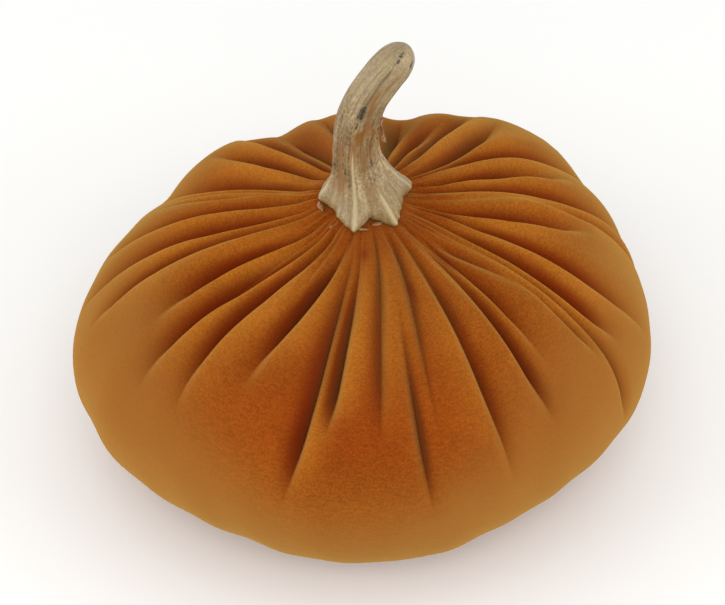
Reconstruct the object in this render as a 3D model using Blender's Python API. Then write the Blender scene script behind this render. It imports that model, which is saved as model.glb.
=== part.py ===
"""A stuffed velvet pumpkin with a dried natural stem.

One disc of velvet is filled and drawn shut over its filling by a thread round its edge. A real, dried stem
is glued over the gathers. The origin is the middle of the flat spot that the body rests on, +Z is up and -Y
is the front. Sizes are in millimetres here, and become metres when a mesh is made.
"""
from collections import namedtuple

import bpy
import bmesh
import numpy as np

MM = 0.001

# The filled body, before its gathers are drawn in
RADIUS = 100.0             # middle radius of the belly
BELLY_HEIGHT = 43.0        # height of the widest level
CROWN_RISE = 51.7          # the crown's rise over the widest level
REST_RADIUS = 40.7         # the flat spot underneath
UPPER_FULLNESS = 2.08      # 2 is an ellipse, more is squarer
LOWER_FULLNESS = 2.25
HOLLOW_DEPTH = 2.2         # where the drawing thread pulls the crown down
HOLLOW_RADIUS = 41.0
GATHER_CENTRE = (-4.0, 6.0)
CENTRE_PULL = 18.0         # how far out the off-centre gathering bends the lines
LEAN_FADE = 40.0           # the crown's lean grows from nothing over this radius

# The uneven filling: for each number of lobes round the body, its cosine and sine part, shares of the radius
PLAN_LUMPS = {1: (-0.031, -0.020), 2: (0.005, 0.037), 3: (-0.014, -0.008), 4: (-0.003, -0.003),
              5: (0.002, -0.022)}

# The same for the crown's height, as share of its rise
CROWN_LEAN = {1: (0.070, -0.006), 2: (0.008, -0.006)}

# The flat that the stem's foot is glued on
SEAT_HEIGHT = 92.4
SEAT_RADIUS = 19.8
SEAT_BLEND = 33.0
GLUE_GAP = 0.3

# Where the first two of a gather's three azimuths are taken, as arc from the crown's centre
TOP_ARC = 20.0
MIDDLE_ARC = 55.0

# Each gather is a valley that runs down from the stem. Its start, its deepest place and its reach are arcs
# from the crown's centre. Its three azimuths in degrees are at the top, in the middle and at its reach. Then
# come its depth and the widths of its left and right slope, where left is the side of the smaller azimuth.
Gather = namedtuple("Gather", "start deep reach top middle end depth left right")
GATHERS = [
    Gather(11, 50, 92, -155.0, -160.0, -152.0, 9.0, 9.5, 3.5),
    Gather(12, 45, 72, -148.6, -150.4, -149.0, 2.6, 3.2, 2.0),
    Gather(11, 62, 108, -143.5, -148.4, -143.4, 8.5, 7.5, 3.2),
    Gather(11, 60, 106, -133.5, -138.8, -133.0, 8.0, 7.1, 3.0),
    Gather(12, 48, 88, -116.0, -122.0, -122.8, 8.0, 8.0, 3.0),
    Gather(12, 92, 118, -109.5, -106.4, -107.4, 6.5, 8.5, 2.2),
    Gather(11, 74, 94, -102.0, -100.6, -101.2, 8.6, 7.0, 2.2),
    Gather(11, 62, 102, -88.2, -89.0, -89.2, 4.6, 7.5, 3.0),
    Gather(40, 92, 120, -80.6, -81.2, -79.6, 5.0, 2.8, 3.6),
    Gather(13, 40, 104, -71.0, -75.6, -76.2, 3.7, 2.6, 4.5),
    Gather(11, 78, 114, -60.6, -62.7, -62.6, 4.5, 2.5, 5.9),
    Gather(11, 80, 102, -49.2, -49.8, -50.2, 5.1, 3.0, 4.2),
    Gather(13, 50, 88, -43.6, -44.0, -45.6, 4.4, 2.2, 7.5),
    Gather(22, 34, 66, -39.0, -35.0, -33.4, 4.0, 2.5, 4.6),
    Gather(46, 82, 95, -33.0, -32.6, -32.4, 2.6, 1.9, 3.2),
    Gather(13, 108, 124, -28.0, -28.6, -29.6, 3.4, 2.2, 3.6),
    Gather(12, 76, 99, -19.8, -24.1, -24.6, 6.0, 2.8, 6.2),
    Gather(12, 60, 110, -8.5, -14.6, -14.6, 6.0, 3.0, 7.1),
    Gather(11, 45, 80, -1.5, -0.4, 3.2, 9.0, 3.6, 9.5),
    Gather(50, 92, 114, 12.0, 11.3, 4.8, 4.4, 3.0, 6.3),
    Gather(11, 56, 108, 24.0, 18.3, 15.0, 7.2, 3.4, 7.1),
    Gather(11, 48, 86, 35.2, 30.2, 27.0, 9.5, 4.4, 9.2),
    Gather(11, 66, 112, 50.0, 42.9, 33.0, 7.2, 3.4, 6.6),
    Gather(11, 50, 96, 56.5, 53.2, 60.0, 9.0, 4.4, 8.4),
    Gather(11, 64, 100, 70.0, 67.0, 67.4, 9.0, 3.8, 7.6),
    Gather(11, 46, 84, 80.5, 74.0, 70.5, 6.5, 3.5, 6.4),
    Gather(11, 60, 98, 88.0, 84.8, 83.6, 10.0, 4.8, 8.0),
    Gather(11, 52, 98, 94.6, 95.2, 97.0, 6.0, 5.4, 4.2),
    Gather(12, 60, 96, 103.5, 105.4, 105.0, 3.5, 5.2, 3.2),
    Gather(11, 56, 84, 114.5, 116.0, 118.4, 5.0, 6.5, 4.0),
    Gather(11, 62, 100, 123.5, 124.8, 124.6, 9.5, 8.5, 4.4),
    Gather(11, 50, 92, 135.0, 136.6, 137.6, 7.5, 7.6, 3.2),
    Gather(11, 58, 102, 150.2, 150.4, 152.0, 8.5, 11.0, 3.6),
    Gather(26, 62, 90, 155.4, 156.0, 157.4, 2.8, 3.0, 1.9),
    Gather(40, 66, 92, 160.4, 160.6, 161.4, 2.0, 2.5, 1.5),
    Gather(15, 66, 106, 164.5, 167.4, 175.0, 5.0, 5.5, 2.6),
    Gather(11, 60, 114, 178.0, 177.8, 187.0, 8.5, 8.4, 3.2),
    Gather(16, 78, 108, 185.0, 186.0, 195.5, 5.6, 5.6, 2.6),
]
FAN_SHARE = 0.20           # a valley's width is at most this share of the ring's radius
DEPTH_SHARE = 0.80         # and its depth at most this share of its width

# The arcs of the body's rings, which lie closer where the gathers run
RING_ARCS = [11.0, 14.0, 17.5, 21.5, 26.0, 31.0, 36.5, 42.0, 47.5, 53.0, 58.5, 64.0, 69.5, 75.0, 80.5,
             86.0, 91.5, 97.0, 102.5, 108.0, 113.5, 119.5, 126.0, 133.0, 140.5, 149.0, 158.0, 168.0, 178.0,
             188.0, 198.0]
COLUMN_DEGREES = 2.6       # middle width of the strips between two columns
COLUMN_PULL = 0.11         # draws the columns towards the valleys

# The dried stem: its rise, its middle's offset from the gather centre and its radius, from the foot up
StemRing = namedtuple("StemRing", "rise dx dy radius")
STEM_RINGS = [
    StemRing(0.0, 0.0, 0.0, 15.0),
    StemRing(1.6, -0.1, 0.0, 15.4),
    StemRing(4.2, -0.5, 0.0, 14.2),
    StemRing(7.5, -1.2, 0.3, 11.6),
    StemRing(11.5, -2.0, 0.6, 9.7),
    StemRing(16.5, -2.8, 1.1, 8.4),
    StemRing(24.0, -3.1, 1.9, 7.6),
    StemRing(32.0, -2.1, 2.8, 7.4),
    StemRing(40.0, 0.8, 3.8, 7.0),
    StemRing(47.5, 5.6, 5.0, 6.9),
    StemRing(52.0, 9.3, 6.0, 6.6),
    StemRing(55.2, 11.9, 6.7, 5.6),
    StemRing(57.2, 13.4, 7.1, 3.8),
    StemRing(58.2, 14.2, 7.3, 1.5),
]
STEM_ROWS = 26
STEM_COLUMNS = 54

# The foot's lobes: azimuth in degrees and share of the foot's radius. They fade to low ribs up the stem.
FOOT_LOBES = [(-175, 1.02), (-160, 0.92), (-143, 0.82), (-125, 0.99), (-105, 1.30), (-84, 0.73),
              (-70, 0.92), (-57, 1.25), (-35, 0.93), (-7, 0.78), (20, 1.12), (42, 0.90), (70, 1.06),
              (97, 0.84), (125, 1.04), (152, 0.86)]
LOBE_FADE = 7.0            # the rise over which most of a lobe is gone
RIB_SHARE = 0.22           # what is left of it as a rib up the stem


def clear_scene():
    """Removes every object of the open file."""
    for old in list(bpy.data.objects):
        bpy.data.objects.remove(old, do_unlink=True)


def smooth_step(low, high, value):
    """0 below low, 1 above high, and a smooth S between them."""
    t = np.clip((value - low) / (high - low), 0.0, 1.0)
    return t * t * (3.0 - 2.0 * t)


def body_profile(arc):
    """The unlumped body's radius, height and outward slope at an arc from the crown's centre.

    Two superellipse quarters: over the belly from the crown's centre out, under it back in to the flat spot.
    """
    turn = np.linspace(0.0, np.pi / 2.0, 400)
    upper_r = RADIUS * np.sin(turn) ** (2.0 / UPPER_FULLNESS)
    upper_z = BELLY_HEIGHT + CROWN_RISE * np.cos(turn) ** (2.0 / UPPER_FULLNESS)
    lower_r = REST_RADIUS + (RADIUS - REST_RADIUS) * np.cos(turn) ** (2.0 / LOWER_FULLNESS)
    lower_z = BELLY_HEIGHT * (1.0 - np.sin(turn) ** (2.0 / LOWER_FULLNESS))
    r = np.concatenate([upper_r, lower_r[1:]])
    z = np.concatenate([upper_z, lower_z[1:]])
    run = np.concatenate([[0.0], np.cumsum(np.hypot(np.diff(r), np.diff(z)))])
    dr, dz = np.gradient(r, run), np.gradient(z, run)
    return (np.interp(arc, run, r), np.interp(arc, run, z), np.interp(arc, run, -dz), np.interp(arc, run, dr),
            run[-1])


def waves(parts, phi):
    """A sum of waves round the body: for each whole number of lobes, its cosine and sine part."""
    return sum(c * np.cos(k * phi) + s * np.sin(k * phi) for k, (c, s) in parts.items())


def gather_arcs(arc):
    """The true arc at each gather of the ring at this arc: the lumps stretch the meridians."""
    middle = np.radians([g.middle for g in GATHERS])
    return arc * (1.0 + waves(PLAN_LUMPS, middle))


def gather_azimuths(arc):
    """Every gather's azimuth in degrees on a ring: a parabola through its three stated azimuths."""
    rows = []
    for g, true_arc in zip(GATHERS, gather_arcs(arc)):
        s = np.clip(true_arc, TOP_ARC - 6.0, g.reach)
        a, b, c = TOP_ARC, min(MIDDLE_ARC, 0.5 * (TOP_ARC + g.reach)), g.reach
        rows.append(g.top * (s - b) * (s - c) / ((a - b) * (a - c))
                    + g.middle * (s - a) * (s - c) / ((b - a) * (b - c))
                    + g.end * (s - a) * (s - b) / ((c - a) * (c - b)))
    return np.array(rows)


def columns_between(azimuths):
    """The body's columns at one ring: the gathers' valleys, and others between, closer near the valleys."""
    middle = gather_azimuths(MIDDLE_ARC)
    steps = np.diff(np.append(middle, middle[0] + 360.0))
    ring = np.append(azimuths, azimuths[0] + 360.0)
    parts = []
    for i, step in enumerate(steps):
        count = max(3, int(round(step / COLUMN_DEGREES)))
        t = np.arange(count) / count
        t = t - COLUMN_PULL * np.sin(2.0 * np.pi * t)
        parts.append(ring[i] + t * (ring[i + 1] - ring[i]))
    return np.concatenate(parts)


def crease_depth(arc, radius, columns, azimuths):
    """How far the gathers draw the cloth in at each column of a ring.

    A valley is two rounded slopes, one broad and one steep, that meet in a sharp line. Its depth swells from
    its start to its deepest place, early where it comes from under the stem, and dies at its reach. Towards
    the stem the valleys get narrow and shallow.
    """
    total = np.zeros_like(columns)
    for g, true_arc, azimuth in zip(GATHERS, gather_arcs(arc), azimuths):
        swell = smooth_step(g.start, g.deep, true_arc) ** (0.35 if g.start < TOP_ARC else 0.8)
        swell *= smooth_step(g.reach, g.deep, true_arc) ** 0.7
        room = min(1.0, FAN_SHARE * radius / (g.left + g.right))
        away = np.radians((columns - azimuth + 180.0) % 360.0 - 180.0) * radius
        slope = np.where(away < 0.0, -away / g.left, away / g.right) / room
        near = np.clip(1.0 - slope, 0.0, 1.0)
        deepest = min(g.depth, DEPTH_SHARE * room * (g.left + g.right))
        total += deepest * swell * (0.5 * (1.0 - np.sqrt(1.0 - near ** 2)) + 0.5 * near ** 1.5)
    return total


def body_rings():
    """The body's rings of points, from the seat under the stem down to the flat spot."""
    rest_arc = body_profile(0.0)[4]
    rings = []
    for arc in RING_ARCS + [rest_arc]:
        r, z, normal_r, normal_z, _ = body_profile(arc)
        azimuths = gather_azimuths(arc)
        columns = columns_between(azimuths)
        phi = np.radians(columns)
        lumps = 1.0 + waves(PLAN_LUMPS, phi)
        rise = max(z - BELLY_HEIGHT, 0.0) * waves(CROWN_LEAN, phi) * (1.0 - np.exp(-(r / LEAN_FADE) ** 2))
        pull = np.exp(-(arc / CENTRE_PULL) ** 2)
        x = r * lumps * np.cos(phi) + pull * GATHER_CENTRE[0]
        y = r * lumps * np.sin(phi) + pull * GATHER_CENTRE[1]
        height = z + rise - HOLLOW_DEPTH * np.exp(-(r / HOLLOW_RADIUS) ** 2)
        seat = smooth_step(SEAT_RADIUS, SEAT_BLEND, np.hypot(x - GATHER_CENTRE[0], y - GATHER_CENTRE[1]))
        height = SEAT_HEIGHT + (height - SEAT_HEIGHT) * seat if z > BELLY_HEIGHT else height
        depth = crease_depth(arc, r, columns, azimuths)
        x = x - depth * normal_r * np.cos(phi)
        y = y - depth * normal_r * np.sin(phi)
        height = np.maximum(height - depth * normal_z, 0.0)
        rings.append(np.stack([x, y, height], axis=1))
    rings[-1][:, 2] = 0.0
    return np.array(rings)


def stem_rings():
    """The stem's rings of points, from the foot up: lobed sections square to its curved middle line."""
    table = np.array(STEM_RINGS)
    spot = np.linspace(0.0, len(table) - 1.0, STEM_ROWS)
    rise, dx, dy, radius = (np.interp(spot, np.arange(len(table)), column) for column in table.T)
    middle = np.stack([GATHER_CENTRE[0] + dx, GATHER_CENTRE[1] + dy, SEAT_HEIGHT + GLUE_GAP + rise], axis=1)
    along = np.gradient(middle, axis=0)
    along /= np.linalg.norm(along, axis=1)[:, None]
    turned = smooth_step(2.0, 20.0, rise)[:, None]
    along = turned * along + (1.0 - turned) * (0.0, 0.0, 1.0)
    along /= np.linalg.norm(along, axis=1)[:, None]
    side = np.cross((0.0, 1.0, 0.0), along)
    side /= np.linalg.norm(side, axis=1)[:, None]
    ahead = np.cross(along, side)
    azimuth = np.linspace(-180.0, 180.0, STEM_COLUMNS, endpoint=False)
    lobe_at, lobe = np.array(FOOT_LOBES).T
    lobe_at = np.concatenate([lobe_at - 360.0, lobe_at, lobe_at + 360.0])
    spread = np.interp(azimuth, lobe_at, np.tile(lobe, 3)) - 1.0
    spread = 0.25 * np.roll(spread, 1) + 0.5 * spread + 0.25 * np.roll(spread, -1)
    keep = RIB_SHARE + (1.0 - RIB_SHARE) * np.exp(-rise / LOBE_FADE)
    reach = radius[:, None] * (1.0 + keep[:, None] * spread[None])
    phi = np.radians(azimuth)
    return (middle[:, None] + side[:, None] * (reach * np.cos(phi))[..., None]
            + ahead[:, None] * (reach * np.sin(phi))[..., None])


def material(name, color, roughness):
    """A plain surface in the piece's main colour."""
    made = bpy.data.materials.new(name)
    made.use_nodes = True
    shader = made.node_tree.nodes["Principled BSDF"]
    shader.inputs["Base Color"].default_value = (*color, 1.0)
    shader.inputs["Roughness"].default_value = roughness
    shader.inputs["Metallic"].default_value = 0.0
    return made


def loft(name, rings, surface, collection):
    """A closed solid through rings of points that run anticlockwise, each end closed with one flat face."""
    mesh = bpy.data.meshes.new(name)
    shape = bmesh.new()
    rows = [[shape.verts.new(point * MM) for point in ring] for ring in rings]
    for near, far in zip(rows[:-1], rows[1:]):
        for i in range(len(near)):
            j = (i + 1) % len(near)
            shape.faces.new((near[i], near[j], far[j], far[i]))
    shape.faces.new(rows[0])
    shape.faces.new(list(reversed(rows[-1])))
    bmesh.ops.recalc_face_normals(shape, faces=shape.faces)
    shape.to_mesh(mesh)
    shape.free()
    mesh.shade_smooth()
    mesh.set_sharp_from_angle(angle=np.radians(50.0))
    mesh.materials.append(surface)
    made = bpy.data.objects.new(name, mesh)
    collection.objects.link(made)
    return made


def main():
    """Builds the pumpkin in its own collection."""
    clear_scene()
    collection = bpy.data.collections.new("velvet_pumpkin")
    bpy.context.scene.collection.children.link(collection)
    loft("velvet_body", body_rings(), material("burnt_orange_velvet", (0.34, 0.08, 0.015), 0.8), collection)
    loft("dried_stem", stem_rings(), material("varnished_dried_stem", (0.36, 0.25, 0.14), 0.45), collection)


main()
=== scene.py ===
"""Dresses the stuffed velvet pumpkin: its gathered velvet skin, its dried stem and the glue at its foot.

Shapes are worked out in millimetres and become metres when a mesh is made. The velvet's azimuths are in
degrees, from +X towards +Y, and its arcs run over the cloth from the middle of the crown.
"""
from collections import namedtuple

import bpy
import numpy as np
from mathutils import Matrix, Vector


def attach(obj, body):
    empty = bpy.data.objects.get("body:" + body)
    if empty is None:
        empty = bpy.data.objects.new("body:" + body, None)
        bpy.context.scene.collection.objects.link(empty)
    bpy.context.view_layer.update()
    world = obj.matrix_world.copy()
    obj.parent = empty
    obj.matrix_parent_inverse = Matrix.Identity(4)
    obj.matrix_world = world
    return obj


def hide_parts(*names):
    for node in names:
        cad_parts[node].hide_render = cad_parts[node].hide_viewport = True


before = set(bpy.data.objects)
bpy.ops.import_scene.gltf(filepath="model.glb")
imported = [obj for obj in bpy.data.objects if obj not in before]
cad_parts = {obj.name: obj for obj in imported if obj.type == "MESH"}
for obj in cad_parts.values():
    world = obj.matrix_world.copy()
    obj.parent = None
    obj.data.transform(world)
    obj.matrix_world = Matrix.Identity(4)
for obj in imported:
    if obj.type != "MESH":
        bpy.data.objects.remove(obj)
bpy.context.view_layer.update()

MM = 0.001

# The filled body before its gathers are drawn in
RADIUS = 100.0
BELLY_HEIGHT = 43.0
CROWN_RISE = 51.7
REST_RADIUS = 40.7
UPPER_FULLNESS = 2.08
LOWER_FULLNESS = 2.25
HOLLOW_DEPTH = 2.2
HOLLOW_RADIUS = 41.0
GATHER_CENTRE = (-4.0, 6.0)
CENTRE_PULL = 18.0
LEAN_FADE = 40.0
PLAN_LUMPS = {1: (-0.031, -0.020), 2: (0.005, 0.037), 3: (-0.014, -0.008), 4: (-0.003, -0.003),
              5: (0.002, -0.022)}
CROWN_LEAN = {1: (0.070, -0.006), 2: (0.008, -0.006)}
SEAT_HEIGHT = 92.4
SEAT_RADIUS = 15.0
SEAT_BLEND = 24.0
GLUE_GAP = 0.3
TOP_ARC = 20.0
MIDDLE_ARC = 55.0

# Each gather: start, deepest place and reach as arcs, azimuths at the top, in the middle and at the reach,
# depth, and the widths of its left and right slope
Gather = namedtuple("Gather", "start deep reach top middle end depth left right")
GATHERS = [
    Gather(11, 50, 92, -155.0, -160.0, -152.0, 9.0, 9.5, 3.5),
    Gather(12, 45, 72, -148.6, -150.4, -149.0, 2.6, 3.2, 2.0),
    Gather(11, 62, 108, -143.5, -148.4, -143.4, 8.5, 7.5, 3.2),
    Gather(11, 60, 106, -133.5, -138.8, -133.0, 8.0, 7.1, 3.0),
    Gather(12, 48, 88, -116.0, -122.0, -122.8, 8.0, 8.0, 3.0),
    Gather(12, 92, 118, -109.5, -106.4, -107.4, 6.5, 8.5, 2.2),
    Gather(11, 74, 94, -102.0, -100.6, -101.2, 8.6, 7.0, 2.2),
    Gather(11, 62, 102, -88.2, -89.0, -89.2, 4.6, 7.5, 3.0),
    Gather(40, 92, 120, -80.6, -81.2, -79.6, 5.0, 2.8, 3.6),
    Gather(13, 40, 104, -71.0, -75.6, -76.2, 3.7, 2.6, 4.5),
    Gather(11, 78, 114, -60.6, -62.7, -62.6, 4.5, 2.5, 5.9),
    Gather(11, 80, 102, -49.2, -49.8, -50.2, 5.1, 3.0, 4.2),
    Gather(13, 50, 88, -43.6, -44.0, -45.6, 4.4, 2.2, 7.5),
    Gather(22, 34, 66, -39.0, -35.0, -33.4, 4.0, 2.5, 4.6),
    Gather(46, 82, 95, -33.0, -32.6, -32.4, 2.6, 1.9, 3.2),
    Gather(13, 108, 124, -28.0, -28.6, -29.6, 3.4, 2.2, 3.6),
    Gather(12, 76, 99, -19.8, -24.1, -24.6, 6.0, 2.8, 6.2),
    Gather(12, 60, 110, -8.5, -14.6, -14.6, 6.0, 3.0, 7.1),
    Gather(11, 45, 80, -1.5, -0.4, 3.2, 9.0, 3.6, 9.5),
    Gather(50, 92, 114, 12.0, 11.3, 4.8, 4.4, 3.0, 6.3),
    Gather(11, 56, 108, 24.0, 18.3, 15.0, 7.2, 3.4, 7.1),
    Gather(11, 48, 86, 35.2, 30.2, 27.0, 9.5, 4.4, 9.2),
    Gather(11, 66, 112, 50.0, 42.9, 33.0, 7.2, 3.4, 6.6),
    Gather(11, 50, 96, 56.5, 53.2, 60.0, 9.0, 4.4, 8.4),
    Gather(11, 64, 100, 70.0, 67.0, 67.4, 9.0, 3.8, 7.6),
    Gather(11, 46, 84, 80.5, 74.0, 70.5, 6.5, 3.5, 6.4),
    Gather(11, 60, 98, 88.0, 84.8, 83.6, 10.0, 4.8, 8.0),
    Gather(11, 52, 98, 94.6, 95.2, 97.0, 6.0, 5.4, 4.2),
    Gather(12, 60, 96, 103.5, 105.4, 105.0, 3.5, 5.2, 3.2),
    Gather(11, 56, 84, 114.5, 116.0, 118.4, 5.0, 6.5, 4.0),
    Gather(11, 62, 100, 123.5, 124.8, 124.6, 9.5, 8.5, 4.4),
    Gather(11, 50, 92, 135.0, 136.6, 137.6, 7.5, 7.6, 3.2),
    Gather(11, 58, 102, 150.2, 150.4, 152.0, 8.5, 11.0, 3.6),
    Gather(26, 62, 90, 155.4, 156.0, 157.4, 2.8, 3.0, 1.9),
    Gather(40, 66, 92, 160.4, 160.6, 161.4, 2.0, 2.5, 1.5),
    Gather(15, 66, 106, 164.5, 167.4, 175.0, 5.0, 5.5, 2.6),
    Gather(11, 60, 114, 178.0, 177.8, 187.0, 8.5, 8.4, 3.2),
    Gather(16, 78, 108, 185.0, 186.0, 195.5, 5.6, 5.6, 2.6),
]
FAN_SHARE = 0.20           # a valley's width is at most this share of the ring's radius
DEPTH_SHARE = 0.80         # and its depth at most this share of its width
EARLY_SWELL = 0.35         # a valley that comes from under the stem deepens early
LATE_SWELL = 0.8           # and one that starts further out evenly
DYING = 0.7                # how slowly it closes towards its reach
EVEN_SHARE = 0.8           # close to the stem a valley's two slopes get this much alike
EVEN_ARC = (25.0, 62.0)    # up to the first arc, and less and less until the second
SHOULDER = 1.35            # the steep slope starts this many times as far out, and is rounded over
SHOULDER_POWER = 1.8
CREST_REACH = 3.0          # the painted highlight on the crest beside a valley is this many times as wide as the steep slope
FULL_SHADE = (1.0, 7.0)    # a fold that is less deep than the first isn't shaded, one past the second fully
SHORT_REACH = (88.0, 114.0)     # a gather that ends before the first arc melts away, after the second not
PILE_ROUNDING = 0.3        # the pile rounds the sharp line at a valley's bottom over about this far
PUFF_WIDTH = 7.0           # how far the cloth still dips on each side of a gather
PUFF_SHARE = 0.16          # how much of a gather's depth that dip takes
PLEAT_HEIGHT = 0.30        # fine pleats round the stem
SLACK_HEIGHT = 0.22        # broader slack in the cloth further out

# Soft oval patches of the cloth: azimuth and arc of the middle, half width in degrees, half length in
# millimetres, and the amount: a dip's depth, a pocket's darkness of painted shade
Patch = namedtuple("Patch", "azimuth arc wide long amount")

# Broad dips behind the stem, with their depth
DIPS = [
    Patch(151.5, 88.0, 10.0, 36.0, 3.3),
    Patch(116.5, 76.0, 6.0, 36.0, 4.4),
    Patch(83.0, 72.0, 6.0, 34.0, 4.2),
    Patch(73.0, 82.0, 14.0, 34.0, 1.8),
    Patch(36.0, 98.0, 7.0, 30.0, 2.8),
]

# Painted shade in pockets where the cloth is tucked in, with how dark it is
SHADE_POCKETS = [
    Patch(-73.0, 38.0, 2.2, 8.0, 0.8),
    Patch(-44.6, 33.0, 3.0, 7.0, 0.9),
    Patch(-99.0, 23.0, 6.0, 3.0, 0.7),
    Patch(-10.0, 24.0, 5.0, 4.0, 0.6),
    Patch(79.0, 66.0, 8.0, 20.0, 0.7),
    Patch(115.0, 66.0, 7.0, 16.0, 0.4),
]

# Where the painted red shade is strongest: the azimuths in front and behind, and how wide those places are
RED_FRONT = (-98.0, 34.0)
RED_BACK = (98.0, 32.0)

# The pile lies in short streaks across the folds: streaks for each radian round the body, and the
# millimetres from one to the next down the cloth
STREAKS_AROUND = 34.0
STREAK_SPACING = 0.8

# The dried stem: rise over the seat, offset from the gather centre and radius
StemRing = namedtuple("StemRing", "rise dx dy radius")
STEM_RINGS = [
    StemRing(0.0, 0.0, 0.0, 15.0),
    StemRing(1.6, -0.1, 0.0, 15.4),
    StemRing(4.2, -0.5, 0.0, 14.2),
    StemRing(7.5, -1.2, 0.3, 11.6),
    StemRing(11.5, -2.0, 0.6, 9.7),
    StemRing(16.5, -2.8, 1.1, 8.4),
    StemRing(24.0, -3.1, 1.9, 7.6),
    StemRing(32.0, -2.1, 2.8, 7.4),
    StemRing(40.0, 0.8, 3.8, 7.0),
    StemRing(47.5, 5.6, 5.0, 6.9),
    StemRing(51.2, 8.7, 5.9, 6.7),
    StemRing(53.8, 10.8, 6.4, 6.1),
    StemRing(55.9, 12.5, 6.8, 4.9),
    StemRing(57.2, 13.6, 7.1, 3.2),
    StemRing(57.9, 14.2, 7.2, 1.4),
]

# The lobes of the stem's foot: azimuth and share of the foot's radius
FOOT_LOBES = [(-175, 1.02), (-160, 0.92), (-143, 0.84), (-125, 0.99), (-102, 1.25), (-84, 0.76),
              (-70, 0.92), (-57, 1.22), (-35, 0.93), (-7, 0.80), (20, 1.10), (42, 0.90), (70, 1.06),
              (97, 0.84), (125, 1.04), (152, 0.86)]
LOBE_FADE = 7.0
RIB_SHARE = 0.22

# Sharp ridges (height over 0) and dried-in grooves (under 0) along the stem: the rise and the azimuth at
# their low and their high end, height, and half width in degrees
StemLine = namedtuple("StemLine", "low high at_low at_high height width")
STEM_LINES = [
    StemLine(0.0, 29.0, -101.0, -96.0, 1.1, 5.0),
    StemLine(0.0, 19.0, -56.0, -62.0, 1.2, 5.0),
    StemLine(0.0, 16.0, -87.0, -83.0, 0.7, 4.0),
    StemLine(0.0, 17.0, 12.0, -4.0, 1.0, 6.0),
    StemLine(0.0, 17.0, -171.0, -163.0, 1.0, 6.0),
    StemLine(0.0, 13.0, -127.0, -121.0, 0.8, 5.0),
    StemLine(0.0, 15.0, 70.0, 64.0, 0.9, 5.0),
    StemLine(0.0, 15.0, 126.0, 120.0, 0.9, 5.0),
    StemLine(8.0, 32.0, -108.0, -107.0, -0.6, 4.0),
    StemLine(9.0, 32.0, -58.0, -48.0, -0.7, 4.5),
    StemLine(12.0, 34.0, -80.0, -74.0, -0.4, 5.0),
    StemLine(34.0, 57.0, -94.0, -108.0, -0.9, 9.0),
    StemLine(36.0, 58.0, -66.0, -72.0, -0.4, 6.0),
    StemLine(33.0, 57.0, -108.0, -121.0, 0.9, 5.0),
    StemLine(30.0, 50.0, -84.0, -92.0, 0.7, 5.0),
    StemLine(32.0, 58.0, -136.0, -138.0, -0.4, 6.0),
    StemLine(14.0, 56.0, -150.0, -156.0, -0.35, 6.0),
    StemLine(14.0, 56.0, 30.0, 20.0, -0.6, 7.0),
    StemLine(12.0, 56.0, 90.0, 96.0, -0.6, 7.0),
    StemLine(14.0, 56.0, 150.0, 140.0, -0.5, 7.0),
]

STRANDS_AROUND = 8.0       # strands for each radian round the stem
STRAND_LENGTH = 12.0       # and how many millimetres of the stem's rise one is long
FIBRE_HEIGHTS = (0.09, 0.05)
KNOB_HEIGHT = 0.30
TIP_CLOSING = (51.0, 57.0)      # the lobes and the relief fade away between these rises

# Soft oval marks on the stem: rise, azimuth, half length, half width in degrees, and strength
Mark = namedtuple("Mark", "rise azimuth long wide strength")
BROWN_MARKS = [
    Mark(48.0, -76.0, 6.0, 7.0, 0.55),
    Mark(43.0, -90.0, 3.5, 9.0, 0.95),
    Mark(39.0, -78.0, 4.0, 12.0, 0.75),
    Mark(33.0, -70.0, 4.5, 15.0, 0.85),
    Mark(28.5, -84.0, 3.5, 16.0, 0.95),
    Mark(24.0, -98.0, 4.0, 10.0, 0.8),
    Mark(21.0, -72.0, 7.0, 17.0, 0.6),
    Mark(31.0, -42.0, 5.0, 14.0, 0.6),
    Mark(24.0, -50.0, 9.0, 22.0, 0.5),
    Mark(22.0, -135.0, 8.0, 26.0, 0.55),
    Mark(12.0, -133.0, 5.0, 15.0, 0.95),
    Mark(10.0, -152.0, 3.0, 9.0, 0.6),
    Mark(9.0, -72.0, 4.0, 9.0, 0.5),
    Mark(26.0, 60.0, 9.0, 22.0, 0.6),
    Mark(40.0, 120.0, 9.0, 18.0, 0.5),
    Mark(14.0, 150.0, 6.0, 16.0, 0.7),
]
TORN_BARK = [Mark(31.0, -32.0, 6.0, 26.0, 1.0)]
BLACK_MARKS = [
    Mark(37.4, -99.0, 3.0, 11.0, 1.0),
    Mark(36.0, -96.0, 1.6, 6.0, 0.9),
    Mark(33.0, -99.0, 1.8, 5.0, 0.85),
    Mark(56.2, -112.0, 1.0, 9.0, 0.9),
    Mark(54.8, -107.0, 0.9, 7.0, 0.9),
    Mark(53.6, -111.0, 0.9, 6.0, 0.75),
    Mark(55.5, -52.0, 1.4, 10.0, 0.9),
    Mark(47.5, -12.0, 1.8, 8.0, 0.8),
    Mark(42.0, -4.0, 1.5, 7.0, 0.6),
    Mark(40.0, -172.0, 0.8, 4.0, 0.7),
    Mark(30.5, -28.0, 2.6, 5.0, 0.6),
    Mark(27.3, -50.0, 1.4, 4.0, 0.7),
    Mark(18.0, -51.0, 2.6, 2.6, 0.75),
    Mark(12.7, -58.0, 0.8, 3.0, 0.8),
    Mark(22.0, -108.0, 3.0, 2.6, 0.5),
]

# The strip of bark that has torn loose on the stem's right: rise, azimuth, stand-off, half width
TornRing = namedtuple("TornRing", "rise azimuth away width")
TORN_RINGS = [
    TornRing(38.5, -30.0, -0.5, 0.3),
    TornRing(36.0, -27.0, 0.2, 0.8),
    TornRing(33.0, -22.0, 0.9, 0.7),
    TornRing(30.0, -20.0, 1.6, 1.0),
    TornRing(27.5, -14.0, 1.8, 0.8),
    TornRing(25.5, -15.0, 2.3, 0.9),
    TornRing(24.0, -10.0, 2.9, 0.3),
]

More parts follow.
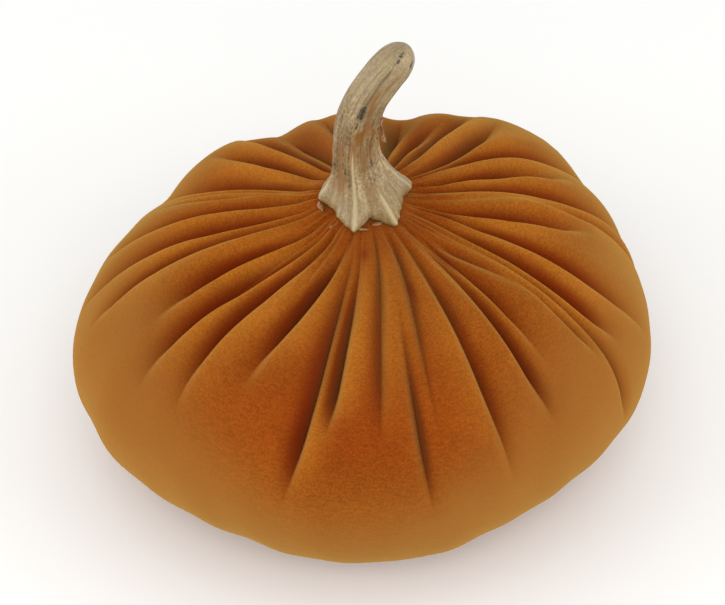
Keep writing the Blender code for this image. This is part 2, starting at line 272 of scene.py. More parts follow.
# Beads of glue squeezed out at the foot: azimuth and distance from the gather centre, length along the
# foot's edge, width and height
Bead = namedtuple("Bead", "azimuth distance long wide high")
GLUE_BEADS = [
    Bead(-161.0, 16.2, 5.0, 1.8, 1.8),
    Bead(-127.0, 19.4, 1.1, 1.7, 0.8),
    Bead(-93.0, 16.9, 3.2, 1.3, 0.9),
    Bead(-75.0, 14.6, 4.4, 1.6, 0.9),
]

# The soft lights: place and power. All are square and point at the middle of the pumpkin.
Lamp = namedtuple("Lamp", "name place power")
LAMPS = [
    Lamp("soft_key", (0.0, -800.0, 800.0), 2.5),
    Lamp("left_fill", (-1000.0, -300.0, 250.0), 4.5),
    Lamp("right_fill", (1000.0, -300.0, 250.0), 4.1),
]
LAMP_SIZE = 700.0
LAMP_AIM = (0.0, 0.0, 50.0)
SKY_STRENGTH = 0.88
FLOOR_HALF = 3000.0

# The camera looks down on a point of the pumpkin's axis, as fitted to the photograph
CAMERA_TILT = 43.0
CAMERA_REACH = 702.0
CAMERA_AIM_HEIGHT = 60.0


def smooth_step(low, high, value):
    """0 below low, 1 above high, and a smooth S between them."""
    t = np.clip((value - low) / (high - low), 0.0, 1.0)
    return t * t * (3.0 - 2.0 * t)


def turn_from(azimuth, middle):
    """The turn in degrees from one azimuth to another, from -180 to 180."""
    return (azimuth - middle + 180.0) % 360.0 - 180.0


def waves(parts, phi):
    """A sum of waves round the body: for each whole number of lobes, its cosine and sine part."""
    return sum(c * np.cos(k * phi) + s * np.sin(k * phi) for k, (c, s) in parts.items())


def ripples(seed, phi, along, low, high, drift, count=26):
    """Uneven ripples of about unit size that run down the cloth: cosines with low to high waves round the
    body, whose phases drift by the given number of turns for each unit along."""
    chance = np.random.default_rng(seed)
    total = 0.0
    for k in chance.integers(low, high, count):
        slide = drift * chance.normal()
        total = total + np.cos(k * phi + 6.283 * (slide * along + chance.random()))
    return total / np.sqrt(0.5 * count)


def body_profile(arc):
    """The unlumped body's radius, height and outward slope at each arc, and the arc of the flat spot's edge.

    Two superellipse quarters: over the belly from the crown's middle out, under it back in to the flat spot.
    """
    turn = np.linspace(0.0, np.pi / 2.0, 800)
    upper_r = RADIUS * np.sin(turn) ** (2.0 / UPPER_FULLNESS)
    upper_z = BELLY_HEIGHT + CROWN_RISE * np.cos(turn) ** (2.0 / UPPER_FULLNESS)
    lower_r = REST_RADIUS + (RADIUS - REST_RADIUS) * np.cos(turn) ** (2.0 / LOWER_FULLNESS)
    lower_z = BELLY_HEIGHT * (1.0 - np.sin(turn) ** (2.0 / LOWER_FULLNESS))
    r = np.concatenate([upper_r, lower_r[1:]])
    z = np.concatenate([upper_z, lower_z[1:]])
    run = np.concatenate([[0.0], np.cumsum(np.hypot(np.diff(r), np.diff(z)))])
    even = np.linspace(0.0, run[-1], 700)
    r, z = np.interp(even, run, r), np.interp(even, run, z)
    dr, dz = np.gradient(r, even), np.gradient(z, even)
    return (np.interp(arc, even, r), np.interp(arc, even, z), np.interp(arc, even, -dz),
            np.interp(arc, even, dr), run[-1])


def gather_columns():
    """The gathers' table as arrays, one for each of its columns."""
    return Gather(*np.array(GATHERS, float).T)


def gather_lines(arc, table):
    """Every gather's true arc and azimuth on each ring: a parabola through its three stated azimuths."""
    true_arc = arc[:, None] * (1.0 + waves(PLAN_LUMPS, np.radians(table.middle)))[None]
    a = TOP_ARC
    b = np.minimum(MIDDLE_ARC, 0.5 * (TOP_ARC + table.reach))
    c = table.reach
    s = np.clip(true_arc, TOP_ARC - 6.0, c)
    azimuth = (table.top * (s - b) * (s - c) / ((a - b) * (a - c))
               + table.middle * (s - a) * (s - c) / ((b - a) * (b - c))
               + table.end * (s - a) * (s - b) / ((c - a) * (c - b)))
    return true_arc, azimuth


def skin_columns(lines, columns):
    """Azimuth of each column on each ring: every gather's valley, and even strips between two valleys that
    are narrower close to the valleys."""
    middle = lines[len(lines) // 4]
    steps = np.diff(np.append(middle, middle[0] + 360.0))
    share = np.maximum(6, np.round(columns * steps ** 0.8 / (steps ** 0.8).sum()).astype(int))
    owner = np.repeat(np.arange(len(share)), share)
    spot = np.concatenate([np.arange(n) / n for n in share])
    spot = spot - 0.13 * np.sin(2.0 * np.pi * spot)
    ring = np.concatenate([lines, lines[:, :1] + 360.0], axis=1)
    return ring[:, owner] + spot[None] * (ring[:, owner + 1] - ring[:, owner])


def crease_depth(table, true_arc, lines, columns, girth):
    """How far the gathers draw the cloth in, how dark the painted shade in the folds is and how strong the
    painted highlight on their crests, from 0 to 1.

    A valley is two slopes that meet in a line, which the pile rounds. The broad slope is rounded and lies in
    the fold's own shade, which is also painted into its colour. The steep one is the round shoulder of the
    next puff, which gets a painted highlight beside the valley. Around them the cloth dips a little, so that
    it is puffed up between two gathers. A valley swells from the gather's start to its deepest place, early
    where it comes from under the stem, and dies at its reach, where a short gather's line melts into a round
    hollow.
    Towards the stem the valleys get narrow and their slopes alike.
    """
    total = np.zeros_like(columns)
    shade = np.zeros_like(columns)
    crest = np.zeros_like(columns)
    for i in range(len(table.depth)):
        s = true_arc[:, i:i + 1]
        growth = EARLY_SWELL if table.start[i] < TOP_ARC else LATE_SWELL
        dying = smooth_step(table.reach[i], table.deep[i], s) ** DYING
        swell = smooth_step(table.start[i], table.deep[i], s) ** growth * dying
        away = np.radians(turn_from(columns, lines[:, i:i + 1])) * girth
        left, right = table.left[i], table.right[i]
        steep = np.where(away < 0.0, left < right, right < left)
        room = np.minimum(1.0, FAN_SHARE * girth / (left + right))
        even = EVEN_SHARE * (1.0 - smooth_step(*EVEN_ARC, s))
        reach = np.where(away < 0.0, left, right) * np.where(steep, SHOULDER, 1.0)
        reach = (reach + even * (0.5 * (left + right) - reach)) * room
        softened = np.sqrt(away ** 2 + PILE_ROUNDING ** 2) - PILE_ROUNDING
        near = np.clip(1.0 - softened / reach, 0.0, 1.0)
        deepest = np.minimum(table.depth[i], DEPTH_SHARE * room * (left + right))
        rounded = 0.5 * (1.0 - np.sqrt(1.0 - near ** 2)) + 0.5 * near ** 1.5
        sharp = np.where(steep, near ** SHOULDER_POWER, rounded)
        melt = (1.0 - dying) * smooth_step(SHORT_REACH[1], SHORT_REACH[0], table.reach[i])
        profile = sharp + melt * (smooth_step(0.0, 1.0, near) * 0.8 - sharp)
        total += deepest * swell * profile
        total += PUFF_SHARE * deepest * swell * np.exp(-(away / PUFF_WIDTH) ** 2)
        # Painted shade: the broad slope darkens towards the valley's line, the steep slope only at its bottom
        dark = np.where(steep, smooth_step(0.85, 1.0, near), smooth_step(0.12, 1.0, near))
        strength = swell * smooth_step(*FULL_SHADE, deepest)
        shade = np.maximum(shade, dark * strength)
        # Painted highlight: a golden paleness on the steep shoulder beside the valley
        pale = np.exp(-(away / (CREST_REACH * reach)) ** 2) * min(1.0, 0.35 * abs(left - right))
        crest = np.maximum(crest, np.where(steep, pale, 0.0) * strength)
    return total, shade, crest


def patches(table, arc, azimuth):
    """The sum of soft ovals: each falls off from its middle as a bell does, both ways."""
    total = 0.0
    for patch in table:
        across = turn_from(azimuth, patch.azimuth) / patch.wide
        total = total + patch.amount * np.exp(-across ** 2 - ((arc - patch.arc) / patch.long) ** 2)
    return total


def painted_shade_and_sheen(arc, azimuth):
    """How strong the painted red shade and the painted pale sheen are, by place.

    The painted red shade is deep high on the front, on the back of the crown and round the stem, and the
    painted pale sheen lies low on the belly and on the sides.
    """
    front = np.exp(-turn_from(azimuth, RED_FRONT[0]) ** 2 / RED_FRONT[1] ** 2)
    back = np.exp(-turn_from(azimuth, RED_BACK[0]) ** 2 / RED_BACK[1] ** 2)
    bib = 0.4 + 0.5 * np.exp(-((arc - 84.0) / 24.0) ** 2)
    foot = 0.6 * smooth_step(34.0, 18.0, arc)
    red = np.maximum(front * bib * smooth_step(118.0, 94.0, arc), foot)
    red = np.maximum(red, 0.75 * back * smooth_step(118.0, 70.0, arc))
    pale = smooth_step(98.0, 152.0, arc + 48.0 * (1.0 - front - back))
    return red, pale


def velvet_skin():
    """Rings of points of the skin, and each point's arc, azimuth, painted fold shade and painted crest
    highlight.

    The filled body's rings are turned by its lumps, drawn over to the gather centre near the crown's middle
    and levelled under the stem. Then the gathers, dips, pleats and slack move each point in along the
    unlumped body's slope.
    """
    rest_arc = body_profile(0.0)[4]
    arc = np.concatenate([np.arange(9.0, 24.0, 0.75), np.arange(24.0, 126.0, 1.0),
                          np.linspace(126.0, rest_arc, 44)])
    r, z, normal_r, normal_z, _ = (np.asarray(part)[:, None] if np.ndim(part) else part
                                   for part in body_profile(arc))
    table = gather_columns()
    true_arc, lines = gather_lines(arc, table)
    columns = skin_columns(lines, 590)
    phi = np.radians(columns)
    lumps = 1.0 + waves(PLAN_LUMPS, phi)
    rise = np.maximum(z - BELLY_HEIGHT, 0.0) * waves(CROWN_LEAN, phi) * (1.0 - np.exp(-(r / LEAN_FADE) ** 2))
    pull = np.exp(-(arc[:, None] / CENTRE_PULL) ** 2)
    x = r * lumps * np.cos(phi) + pull * GATHER_CENTRE[0]
    y = r * lumps * np.sin(phi) + pull * GATHER_CENTRE[1]
    height = z + rise - HOLLOW_DEPTH * np.exp(-(r / HOLLOW_RADIUS) ** 2)
    seat = smooth_step(SEAT_RADIUS, SEAT_BLEND, np.hypot(x - GATHER_CENTRE[0], y - GATHER_CENTRE[1]))
    height = np.where(z > BELLY_HEIGHT, SEAT_HEIGHT + (height - SEAT_HEIGHT) * seat, height)
    depth, shade, crest = crease_depth(table, true_arc, lines, columns, r)
    real_arc = arc[:, None] * lumps
    depth = depth + patches(DIPS, real_arc, columns)
    # Painted shade in the tucked-in pockets, which also takes away the painted crest highlight there
    pocket_shade = patches(SHADE_POCKETS, real_arc, columns)
    shade = np.maximum(shade, pocket_shade)
    crest = crest * (1.0 - np.minimum(1.0, pocket_shade))
    pleats = smooth_step(12.0, 20.0, real_arc) * (1.0 - smooth_step(30.0, 75.0, real_arc))
    depth = depth + PLEAT_HEIGHT * pleats * ripples(5, phi, real_arc / 100.0, 26, 74, 1.2)
    slack = smooth_step(30.0, 60.0, real_arc) * (1.0 - smooth_step(165.0, 195.0, real_arc))
    depth = depth + SLACK_HEIGHT * slack * ripples(8, phi, real_arc / 100.0, 7, 30, 1.0)
    x = x - depth * normal_r * np.cos(phi)
    y = y - depth * normal_r * np.sin(phi)
    height = height - depth * normal_z
    height = np.maximum(height, 0.0)
    height[-1] = 0.0
    return np.stack([x, y, height], axis=2), real_arc, columns, shade, crest


def smooth_curve(spot, values):
    """A smooth curve through evenly numbered values: on each step the cubic whose slope at a value is half
    the way between its two neighbours."""
    values = np.asarray(values, float)
    padded = np.concatenate([2.0 * values[:1] - values[1:2], values, 2.0 * values[-1:] - values[-2:-1]])
    i = np.clip(np.floor(spot).astype(int), 0, len(values) - 2)
    t = spot - i
    p0, p1, p2, p3 = padded[i], padded[i + 1], padded[i + 2], padded[i + 3]
    return 0.5 * (2.0 * p1 + (p2 - p0) * t + (2.0 * p0 - 5.0 * p1 + 4.0 * p2 - p3) * t ** 2
                  + (3.0 * p1 - p0 - 3.0 * p2 + p3) * t ** 3)


def foot_spread(azimuth):
    """Each azimuth's share of the foot's radius over 1: straight between the table's rows, so that the lobes
    keep a crest and the hollows between them stay drawn in."""
    at, share = np.array(FOOT_LOBES, float).T
    return np.interp(azimuth, at, share, period=360.0) - 1.0


def stem_relief(rise, azimuth):
    """The height of the ridges and grooves: each falls off evenly from a sharp middle line."""
    total = np.zeros(np.broadcast(rise, azimuth).shape)
    for line in STEM_LINES:
        way = np.clip((rise - line.low) / (line.high - line.low), 0.0, 1.0)
        middle = line.at_low + way * (line.at_high - line.at_low)
        away = np.abs(turn_from(azimuth, middle)) / line.width
        ends = smooth_step(line.low - 2.0, line.low + 2.0, rise)
        ends = ends * smooth_step(line.high, line.high - 9.0, rise)
        total += line.height * ends * np.exp(-away ** 1.2)
    return total


def marks(table, rise, azimuth):
    """How strongly each place of the stem is marked: the strongest of the soft ovals that it lies in."""
    total = np.zeros(np.broadcast(rise, azimuth).shape)
    for mark in table:
        oval = ((rise - mark.rise) / mark.long) ** 2 + (turn_from(azimuth, mark.azimuth) / mark.wide) ** 2
        total = np.maximum(total, mark.strength * np.exp(-oval))
    return total


def stem_frame(spot):
    """The stem's rise, middle line, radius and two directions across it at places between its rings."""
    rise, dx, dy, radius = (smooth_curve(spot, column)[:, None] for column in np.array(STEM_RINGS).T)
    middle = np.concatenate([GATHER_CENTRE[0] + dx, GATHER_CENTRE[1] + dy, SEAT_HEIGHT + GLUE_GAP + rise],
                            axis=1)
    along = np.gradient(middle, axis=0)
    along /= np.linalg.norm(along, axis=1)[:, None]
    turned = smooth_step(2.0, 20.0, rise)
    along = turned * along + (1.0 - turned) * (0.0, 0.0, 1.0)
    along /= np.linalg.norm(along, axis=1)[:, None]
    side = np.cross((0.0, 1.0, 0.0), along)
    side /= np.linalg.norm(side, axis=1)[:, None]
    return rise, middle, radius, side, np.cross(along, side)


def stem_skin():
    """Rings of points of the stem from the foot up, the rise and azimuth of each, and its ridges' height.

    Lobed sections stand square to a smooth curved middle line. The lobes fade to low ribs up the stem. Fine
    fibres run all along it, and it is knobbly where its bark has torn.
    """
    rise, middle, radius, side, ahead = stem_frame(np.linspace(0.0, len(STEM_RINGS) - 1.0, 260))
    azimuth = np.linspace(-180.0, 180.0, 300, endpoint=False)[None]
    phi = np.radians(azimuth)
    keep = RIB_SHARE + (1.0 - RIB_SHARE) * np.exp(-rise / LOBE_FADE)
    fibres = (FIBRE_HEIGHTS[0] * ripples(21, phi, rise / 60.0, 14, 40, 0.6)
              + FIBRE_HEIGHTS[1] * ripples(22, phi, rise / 60.0, 40, 90, 2.0))
    knobs = KNOB_HEIGHT * marks(TORN_BARK, rise, azimuth) * ripples(23, phi, rise / 8.0, 10, 26, 1.0)
    closing = 1.0 - smooth_step(*TIP_CLOSING, rise)
    relief = stem_relief(rise, azimuth)
    reach = radius * (1.0 + keep * closing ** 0.5 * foot_spread(azimuth))
    reach = reach + (fibres + knobs + relief) * closing
    rings = (middle[:, None] + side[:, None] * (reach * np.cos(phi))[..., None]
             + ahead[:, None] * (reach * np.sin(phi))[..., None])
    return rings, np.broadcast_to(rise, reach.shape), np.broadcast_to(azimuth, reach.shape), relief


def torn_strip():
    """Rings of points of the torn strip: thin flat ovals on a wavy line beside the stem."""
    spot = np.linspace(0.0, len(TORN_RINGS) - 1.0, 60)
    rise, azimuth, away, width = (smooth_curve(spot, column)[:, None] for column in np.array(TORN_RINGS).T)
    levels = np.array(STEM_RINGS)[:, 0]
    up = np.argsort(rise[:, 0])
    back = np.argsort(up)
    place = np.interp(rise[up, 0], levels, np.arange(len(levels)))
    _, middle, radius, side, ahead = (part[back] for part in stem_frame(place))
    phi = np.radians(azimuth)
    out = side * np.cos(phi) + ahead * np.sin(phi)
    across = -side * np.sin(phi) + ahead * np.cos(phi)
    centre = middle + out * (radius * 0.96 + away)
    turn = np.linspace(0.0, 2.0 * np.pi, 16, endpoint=False)[None]
    curl = 0.9 * np.sin(spot * 1.7)[:, None]
    flat, thick = width * np.cos(turn), 0.18 * np.sin(turn)
    return (centre[:, None] + across[:, None] * (flat * np.cos(curl) - thick * np.sin(curl))[..., None]
            + out[:, None] * (flat * np.sin(curl) + thick * np.cos(curl))[..., None])


def glue_bead(bead, seed):
    """Rings of points of one bead: an oval drop, uneven where it set against the cloth."""
    phi = np.radians(bead.azimuth)
    centre = np.array([GATHER_CENTRE[0] + bead.distance * np.cos(phi),
                       GATHER_CENTRE[1] + bead.distance * np.sin(phi), SEAT_HEIGHT + 0.1])
    rise = np.linspace(-1.45, 1.45, 18)[:, None]
    turn = np.linspace(0.0, 2.0 * np.pi, 32, endpoint=False)[None]
    uneven = 1.0 + 0.10 * ripples(seed, turn, rise / 3.0, 2, 6, 0.7, 8)
    out = 0.5 * bead.wide * np.cos(rise) * np.cos(turn) * uneven
    along = 0.5 * bead.long * np.cos(rise) * np.sin(turn) * uneven
    up = 0.5 * bead.high * np.sin(rise) + 0.0 * turn
    return np.stack([centre[0] + out * np.cos(phi) - along * np.sin(phi),
                     centre[1] + out * np.sin(phi) + along * np.cos(phi), centre[2] + up], axis=2)


def closed_piece(name, rings, start, end, body="root"):
    """A closed mesh through rings of points in millimetres, with a fan to a point at each end and its faces
    outwards."""
    rows, columns = rings.shape[:2]
    points = np.concatenate([rings.reshape(-1, 3), [start, end]]) * MM
    index = np.arange(rows * columns).reshape(rows, columns)
    after = np.roll(index, -1, axis=1)
    quads = np.stack([index[:-1], index[1:], after[1:], after[:-1]], axis=-1).reshape(-1, 4)
    first = np.stack([np.full(columns, rows * columns), index[0], after[0]], axis=-1)
    last = np.stack([np.full(columns, rows * columns + 1), after[-1], index[-1]], axis=-1)
    mesh = bpy.data.meshes.new(name)
    mesh.from_pydata(points, [], quads.tolist() + first.tolist() + last.tolist())
    mesh.update()
    corner = points[quads[0]]
    outward = np.cross(corner[1] - corner[0], corner[2] - corner[0])
    if np.dot(outward, corner.mean(axis=0) - points[:-2].mean(axis=0)) < 0.0:
        mesh.flip_normals()
    mesh.shade_smooth()
    piece = bpy.data.objects.new(name, mesh)
    bpy.context.scene.collection.objects.link(piece)
    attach(piece, body)
    return piece


def add_point_values(piece, name, values):
    """Gives each point of a closed piece a number. Its two end points take the mean of the ring beside
    them."""
    flat = np.concatenate([values.reshape(-1), [values[0].mean(), values[-1].mean()]])
    piece.data.attributes.new(name, "FLOAT", "POINT").data.foreach_set("value", flat.astype(np.float32))


def attribute(tree, name):
    """The value of a named point value."""
    return add_node(tree, "ShaderNodeAttribute", {"attribute_name": name}).outputs["Fac"]


def math(tree, operation, first, second, third=None):
    """One step of arithmetic, and its result."""
    links = {"n0": first, "n1": second}
    if third is not None:
        links["n2"] = third
    return add_node(tree, "ShaderNodeMath", {"operation": operation}, **links).outputs["Value"]


def strand_place(tree):
    """The place along a strand, from the three named point values."""
    parts = {axis: attribute(tree, "strand_" + axis.lower()) for axis in "XYZ"}
    return add_node(tree, "ShaderNodeCombineXYZ", **parts).outputs["Vector"]


def add_strands(piece, azimuth, around, along):
    """Gives a piece the place along its strands: on a round of the given radius, and along them."""
    add_point_values(piece, "strand_x", around * np.cos(np.radians(azimuth)))
    add_point_values(piece, "strand_y", around * np.sin(np.radians(azimuth)))
    add_point_values(piece, "strand_z", along)


def noise(tree, where, scale, detail=2.0, roughness=0.5):
    """Soft noise of about 0 to 1 round a half."""
    return add_node(tree, "ShaderNodeTexNoise", Vector=where, Scale=scale, Detail=detail,
                    Roughness=roughness).outputs["Fac"]


def fade(tree, value, low, high, top=1.0):
    """0 where a value is under low, top where it is over high, and smooth between them."""
    return add_node(tree, "ShaderNodeMapRange", {"interpolation_type": "SMOOTHSTEP"}, Value=value, n1=low,
                    n2=high, n3=0.0, n4=top).outputs["Result"]


def blend(tree, share, first, second):
    """The first colour mixed towards the second. Either may be an sRGB hex colour."""
    colours = [linear(colour) if isinstance(colour, str) else colour for colour in (first, second)]
    return add_node(tree, "ShaderNodeMix", {"data_type": "RGBA"}, n0=share, n6=colours[0],
                    n7=colours[1]).outputs[2]


def linear(code):
    """An sRGB hex colour as linear red, green, blue and full alpha."""
    parts = np.array([int(code[i:i + 2], 16) for i in (1, 3, 5)]) / 255.0
    parts = np.where(parts <= 0.04045, parts / 12.92, ((parts + 0.055) / 1.055) ** 2.4)
    return (*parts, 1.0)


def add_node(tree, kind, settings=None, **links):
    """Adds a node. Settings are its own properties. A link names an input, with _ for a space, or its number
    after an n, and gives a value or another node's output."""
    node = tree.nodes.new(kind)
    for key, value in (settings or {}).items():
        setattr(node, key, value)
    for key, value in links.items():
        socket = node.inputs[int(key[1:])] if key[0] == "n" and key[1:].isdigit() else node.inputs[
            key.replace("_", " ")]
        if isinstance(value, bpy.types.NodeSocket):
            tree.links.new(value, socket)
        else:
            socket.default_value = value
    return node


def new_material(name):
    """A material with a Principled shader, and its node tree."""
    made = bpy.data.materials.new(name)
    made.use_nodes = True
    return made, made.node_tree, made.node_tree.nodes["Principled BSDF"]


def ramp(tree, factor, stops):
    """A colour ramp through pairs of place and sRGB hex colour, and its colour output."""
    node = add_node(tree, "ShaderNodeValToRGB", Fac=factor)
    row = node.color_ramp.elements
    while len(row) < len(stops):
        row.new(0.5)
    for stop, (place, code) in zip(row, stops):
        stop.position = place
        stop.color = linear(code)
    return node.outputs["Color"]


def velvet_material():
    """Polyester velvet, woven, sheared and brushed.

    Its short standing pile looks deep rust brown when it is seen straight on, and pale gold along its tips
    when it is seen aslant: the shader's sheen gives part of this, and a painted pale sheen low on the belly
    and on the sides and a painted red shade high on the front, on the back of the crown and round the stem
    give the rest. Handling leaves soft patches where the pile leans another way. Beside each gather the steep
    shoulder carries a painted golden highlight, and down in the gather and in the tucked-in pockets the
    colour darkens to a painted red-brown shade.
    """
    made, tree, shader = new_material("rust_polyester_velvet")
    where = add_node(tree, "ShaderNodeTexCoord").outputs["Object"]
    fine = noise(tree, where, 1500.0, 2.0, 0.6)
    streaks = noise(tree, strand_place(tree), 1.0, 2.0, 0.6)
    grain = math(tree, "MULTIPLY_ADD", streaks, 0.5, math(tree, "MULTIPLY", fine, 0.85))
    mixed = math(tree, "MULTIPLY_ADD", noise(tree, where, 45.0), 0.35, grain)
    centred = math(tree, "SUBTRACT", mixed, 0.345)
    tone = ramp(tree, centred, [(0.3, "#7A3A0B"), (0.5, "#8A450D"), (0.7, "#9A5012")])
    # Painted sheen: a paler golden tone low on the belly and on the sides
    tone = blend(tree, fade(tree, attribute(tree, "painted_pale_sheen"), 0.0, 1.0, 0.8), tone, "#8E5722")
    # Painted shade: a deep red tone high on the front, on the back of the crown and round the stem
    red = ramp(tree, centred, [(0.3, "#732903"), (0.5, "#833205"), (0.7, "#933B07")])
    tone = blend(tree, attribute(tree, "painted_red_shade"), tone, red)
    # Painted highlight: a golden colour on the crests beside the gathers
    gold = ramp(tree, centred, [(0.3, "#9A5714"), (0.5, "#A8631B"), (0.7, "#B66F22")])
    tone = blend(tree, fade(tree, attribute(tree, "crest"), 0.0, 1.0, 0.7), tone, gold)
    # Painted shade: the colour darkens to a deep red-brown down in the folds and in the tucked-in pockets
    tone_with_painted_shade = blend(tree, fade(tree, attribute(tree, "shade"), 0.0, 1.0, 0.9), tone, "#6C1200")
    tree.links.new(tone_with_painted_shade, shader.inputs["Base Color"])
    bump = add_node(tree, "ShaderNodeBump", Strength=0.4, Distance=0.0004, Height=grain)
    tree.links.new(bump.outputs["Normal"], shader.inputs["Normal"])
    shader.inputs["Roughness"].default_value = 0.9
    shader.inputs["Specular IOR Level"].default_value = 0.0
    shader.inputs["Sheen Weight"].default_value = 0.29
    shader.inputs["Sheen Roughness"].default_value = 0.57
    shader.inputs["Sheen Tint"].default_value = linear("#FFE381")
    return made


def stem_material():
    """A real dried plant stem under a thin uneven varnish.

    Drying leaves long pale fibres, orange-brown streaks and black scars, and the colour is darker in the
    grooves. The ridges carry a painted highlight as well as the varnish's own gloss.
    """
    made, tree, shader = new_material("varnished_dried_stem")
    where = add_node(tree, "ShaderNodeTexCoord").outputs["Object"]
    strand = strand_place(tree)
    fibre = noise(tree, strand, 1.3, 4.0, 0.6)
    streak = noise(tree, strand, 0.4, 2.0)
    spots = noise(tree, where, 900.0, 3.0, 0.7)
    cloud = noise(tree, where, 190.0, 3.0, 0.6)
    grain = math(tree, "MULTIPLY_ADD", streak, 0.4, math(tree, "MULTIPLY_ADD", cloud, 0.5, spots))
    mixed = math(tree, "MULTIPLY_ADD", fibre, 0.6, grain)
    tone = ramp(tree, math(tree, "MULTIPLY_ADD", mixed, 1.45, -1.31),
                [(0.12, "#43341B"), (0.3, "#6A5331"), (0.5, "#886E44"), (0.68, "#9C835A"),
                 (0.85, "#B59F76")])
    grey = fade(tree, attribute(tree, "rise"), 28.0, 50.0, 0.55)
    tone = blend(tree, grey, tone, "#A08F6D")
    brown = math(tree, "MULTIPLY", attribute(tree, "brown"), math(tree, "MULTIPLY_ADD", spots, 2.4, -0.2))
    tone = blend(tree, fade(tree, brown, 0.1, 0.75, 0.85), tone, "#82541B")
    tone = blend(tree, fade(tree, attribute(tree, "rise"), 17.0, 3.0, 0.45), tone, "#9C8559")
    # Painted highlight: paler along the ridges' crests, over the varnish's own gloss
    tone = blend(tree, fade(tree, attribute(tree, "ridge"), 0.45, 1.05, 0.7), tone, "#BFAE86")
    # Darker in the grooves, mottled by the spots
    groove_darkening = math(tree, "MULTIPLY", fade(tree, attribute(tree, "ridge"), -0.1, -0.7),
                math(tree, "MULTIPLY_ADD", spots, 1.4, 0.0))
    tone = blend(tree, fade(tree, groove_darkening, 0.3, 0.9, 0.6), tone, "#523F1D")
    black = math(tree, "MULTIPLY", attribute(tree, "black"), math(tree, "MULTIPLY_ADD", spots, 2.6, -0.45))
    tone = blend(tree, fade(tree, black, 0.35, 0.62, 0.9), tone, "#352F28")
    tree.links.new(tone, shader.inputs["Base Color"])
    height = math(tree, "MULTIPLY_ADD", spots, 0.7, fibre)
    bump = add_node(tree, "ShaderNodeBump", Strength=0.45, Distance=0.0005, Height=height)
    tree.links.new(bump.outputs["Normal"], shader.inputs["Normal"])
    gloss = fade(tree, cloud, 0.3, 0.7, 0.22)
    tree.links.new(math(tree, "ADD", gloss, 0.28), shader.inputs["Roughness"])
    shader.inputs["Specular IOR Level"].default_value = 0.35
    shader.inputs["Coat Weight"].default_value = 0.15
    shader.inputs["Coat Roughness"].default_value = 0.2
    return made


def torn_material():
    """The torn bark's raw inner side: dry, matt and pinkish."""
    made, tree, shader = new_material("raw_inner_bark")
    where = add_node(tree, "ShaderNodeTexCoord").outputs["Object"]
    fibre = noise(tree, where, 700.0, 3.0)
    tree.links.new(ramp(tree, fibre, [(0.35, "#6B3F25"), (0.65, "#A27A58")]), shader.inputs["Base Color"])
    bump = add_node(tree, "ShaderNodeBump", Strength=0.5, Distance=0.0003, Height=fibre)
    tree.links.new(bump.outputs["Normal"], shader.inputs["Normal"])
    shader.inputs["Roughness"].default_value = 0.75
    return made


def glue_material():
    """Hot-melt glue, set: milky amber and shiny, with stray fibres and dust in it."""
    made, tree, shader = new_material("set_hot_melt_glue")
    where = add_node(tree, "ShaderNodeTexCoord").outputs["Object"]
    dust = noise(tree, where, 500.0, 2.0)
    tree.links.new(ramp(tree, dust, [(0.35, "#75431C"), (0.6, "#9C7044")]), shader.inputs["Base Color"])
    shader.inputs["Roughness"].default_value = 0.28
    shader.inputs["Subsurface Weight"].default_value = 0.25
    shader.inputs["Subsurface Scale"].default_value = 0.001
    return made


def floor_material():
    """Matt white paper, which bounces soft light back up."""
    made, tree, shader = new_material("matt_white_paper")
    shader.inputs["Base Color"].default_value = linear("#F6F6F4")
    shader.inputs["Roughness"].default_value = 0.9
    shader.inputs["Specular IOR Level"].default_value = 0.1
    return made


def build_velvet():
    """The gathered velvet skin, in the place of the solid body."""
    rings, arc, azimuth, shade, crest = velvet_skin()
    piece = closed_piece("velvet_skin", rings, (*GATHER_CENTRE, SEAT_HEIGHT), (0.0, 0.0, 0.0))
    red, pale = painted_shade_and_sheen(arc, azimuth)
    for name, values in (("shade", shade), ("painted_red_shade", red), ("painted_pale_sheen", pale), ("crest", crest)):
        add_point_values(piece, name, values)
    add_strands(piece, azimuth, STREAKS_AROUND, arc / STREAK_SPACING)
    piece.data.materials.append(velvet_material())
    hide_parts("velvet_body")


def build_stem():
    """The dried stem's skin, in the place of the solid stem, and the strip of bark that has torn loose."""
    rings, rise, azimuth, relief = stem_skin()
    tip = rings[-1].mean(axis=0) + (0.15, 0.0, 0.2)
    piece = closed_piece("stem_skin", rings, rings[0].mean(axis=0), tip)
    add_point_values(piece, "rise", rise)
    add_point_values(piece, "ridge", relief)
    add_point_values(piece, "brown", marks(BROWN_MARKS, rise, azimuth))
    add_point_values(piece, "black", marks(BLACK_MARKS, rise, azimuth))
    add_strands(piece, azimuth, STRANDS_AROUND, rise / STRAND_LENGTH)
    piece.data.materials.append(stem_material())
    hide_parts("dried_stem")
    rings = torn_strip()
    strip = closed_piece("torn_bark", rings, rings[0].mean(axis=0), rings[-1].mean(axis=0))
    strip.data.materials.append(torn_material())


def build_glue():
    """The beads of glue that were squeezed out round the stem's foot."""
    surface = glue_material()
    for number, bead in enumerate(GLUE_BEADS, start=1):
        rings = glue_bead(bead, 30 + number)
        ends = [rings[i].mean(axis=0) for i in (0, -1)]
        piece = closed_piece(f"glue_bead_{number}", rings, *ends)
        piece.data.materials.append(surface)


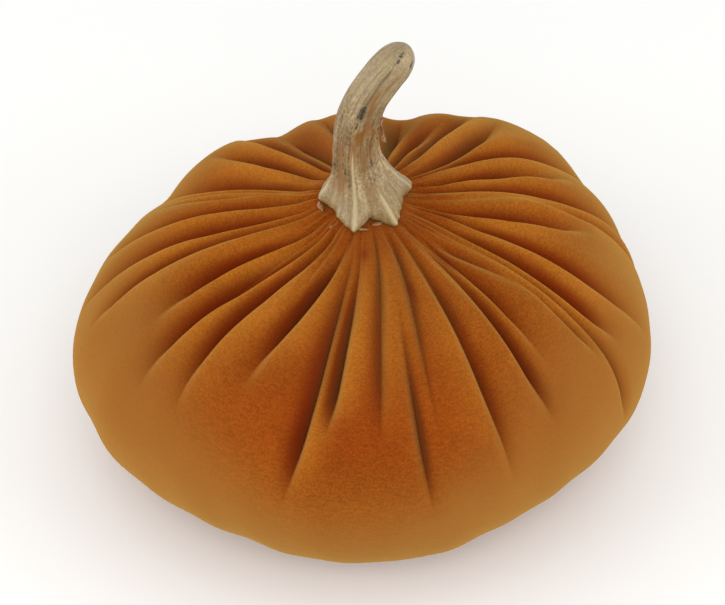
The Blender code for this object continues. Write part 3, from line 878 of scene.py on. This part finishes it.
def area_light(name, place, power):
    """A soft square light that points at the pumpkin, with its place in millimetres."""
    lamp = bpy.data.lights.new(name, "AREA")
    lamp.shape = "SQUARE"
    lamp.size = LAMP_SIZE * MM
    lamp.energy = power
    made = bpy.data.objects.new(name, lamp)
    bpy.context.scene.collection.objects.link(made)
    made.location = Vector(place) * MM
    made.rotation_euler = (Vector(LAMP_AIM) - Vector(place)).to_track_quat("-Z", "Y").to_euler()


def build_studio():
    """A white floor just under the pumpkin, even white light all round, a large soft light in front and a
    low one on each side."""
    mesh = bpy.data.meshes.new("paper_floor")
    half = FLOOR_HALF * MM
    mesh.from_pydata([(-half, -half, -0.0002), (half, -half, -0.0002), (half, half, -0.0002),
                      (-half, half, -0.0002)], [], [(0, 1, 2, 3)])
    floor = bpy.data.objects.new("paper_floor", mesh)
    bpy.context.scene.collection.objects.link(floor)
    mesh.materials.append(floor_material())
    world = bpy.context.scene.world or bpy.data.worlds.new("studio_light")
    bpy.context.scene.world = world
    world.use_nodes = True
    sky = world.node_tree.nodes["Background"]
    sky.inputs["Color"].default_value = (1.0, 1.0, 1.0, 1.0)
    sky.inputs["Strength"].default_value = SKY_STRENGTH
    for lamp in LAMPS:
        area_light(*lamp)
    bpy.context.scene.view_settings.view_transform = "Standard"
    bpy.context.scene.view_settings.look = "None"


def build_camera():
    """The photograph's camera: its tilt, distance and long lens, with the frame shifted to the object."""
    tilt = np.radians(CAMERA_TILT)
    reach = CAMERA_REACH * MM
    camera = bpy.data.cameras.new("photo_camera")
    camera.sensor_width = 36.0
    camera.lens = 98.98
    camera.shift_x = -0.0205
    camera.shift_y = -0.0341
    camera.clip_start = 0.05
    camera.clip_end = 20.0
    made = bpy.data.objects.new("photo_camera", camera)
    bpy.context.scene.collection.objects.link(made)
    made.location = (0.0, -reach * np.cos(tilt), CAMERA_AIM_HEIGHT * MM + reach * np.sin(tilt))
    made.rotation_euler = (np.pi / 2.0 - tilt, 0.0, 0.0)
    bpy.context.scene.camera = made


build_camera()
build_velvet()
build_stem()
build_glue()
build_studio()
